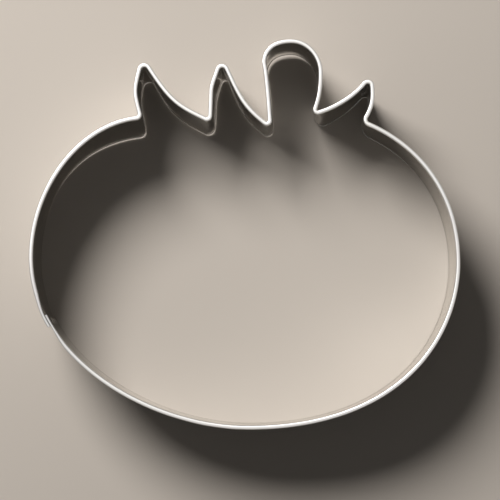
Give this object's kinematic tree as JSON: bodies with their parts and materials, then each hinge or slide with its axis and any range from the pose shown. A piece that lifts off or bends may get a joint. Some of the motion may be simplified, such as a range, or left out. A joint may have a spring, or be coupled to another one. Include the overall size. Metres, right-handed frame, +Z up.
{
  "type": "cookie cutter",
  "caption": "Open sheet-metal cookie cutter in the outline of a wide round fruit with a leafy crown and a stem, with a rolled rim on top and a plain cutting edge below.",
  "frame": {"origin": "on the table, in the middle of the outline's box, level with the cutting edge", "axes": "+X to the right across the outline, +Y towards the stem, +Z up from the cutting edge to the rolled rim"},
  "size_m": [0.1016, 0.0921, 0.0254],
  "materials": {
    "strip_steel": "bright rolled sheet, satin on the rim",
    "weld_steel": "dull, dimpled weld face"
  },
  "bodies": {
    "root": {"formed_strip": "strip_steel", "spot_weld_1": "weld_steel", "spot_weld_2": "weld_steel", "spot_weld_3": "weld_steel"}
  },
  "joints": []
}
